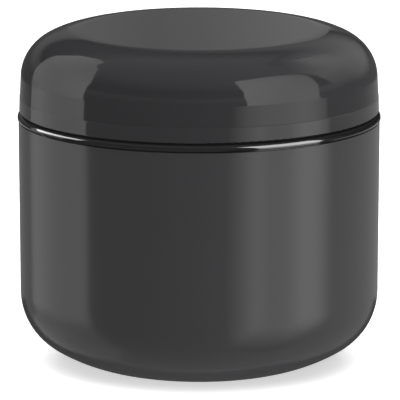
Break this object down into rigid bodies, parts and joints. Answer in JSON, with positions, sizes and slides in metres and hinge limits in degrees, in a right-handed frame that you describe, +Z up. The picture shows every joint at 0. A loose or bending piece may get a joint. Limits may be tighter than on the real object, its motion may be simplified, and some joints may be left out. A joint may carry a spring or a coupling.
{
  "type": "double-wall screw-top jar",
  "caption": "Glossy black double-wall plastic jar with a rounded base, a threaded inner cup with a flange bead, a sealing disc with a pull tab, and a lined domed screw lid.",
  "frame": {"origin": "on the jar's axis, at the surface that its foot stands on", "axes": "+Z up along the jar's axis, through the lid; the jar is round, so +X and +Y are free, and the neck's thread starts at +X"},
  "size_m": [0.0984, 0.0984, 0.093],
  "materials": {
    "shell_gloss_black": "moulded high gloss",
    "cup_gloss_black": "moulded high gloss",
    "lid_gloss_black": "moulded high gloss",
    "cap_satin_black": "moulded satin",
    "disc_natural": "natural translucent, satin",
    "liner_foam": "fine closed-cell foam with a smooth skin"
  },
  "bodies": {
    "jar": {"outer_shell": "shell_gloss_black", "inner_cup": "cup_gloss_black"},
    "liner": {"foam_liner": "liner_foam"},
    "lid": {"lid_shell": "lid_gloss_black", "lid_inner_cap": "cap_satin_black"},
    "disc": {"sealing_disc": "disc_natural"},
    "tab": {"disc_tab": "disc_natural"}
  },
  "joints": [
    {"name": "lid_rise", "type": "slide", "parent": "jar", "child": "liner", "axis": [0, 0, 1], "range_m": [0, 0.04064]},
    {"name": "lid_turn", "type": "hinge", "parent": "liner", "child": "lid", "pos_m": [0, 0, 0.0708], "axis": [0, 0, 1], "range_deg": [0, 2880]},
    {"name": "disc_lift", "type": "slide", "parent": "jar", "child": "disc", "axis": [0, 0, 1], "range_m": [0, 0.02032]},
    {"name": "tab_fold", "type": "hinge", "parent": "disc", "child": "tab", "pos_m": [0, 0.008, 0.08247], "axis": [-1, 0, 0], "range_deg": [0, 60]}
  ],
  "couplings": [
    {"joint": "lid_rise", "follows": "lid_turn", "m_per_rad": 0.00080851},
    {"joint": "disc_lift", "follows": "lid_turn", "m_per_rad": 0.00040425},
    {"joint": "tab_fold", "follows": "lid_turn", "ratio": 0.020833}
  ]
}
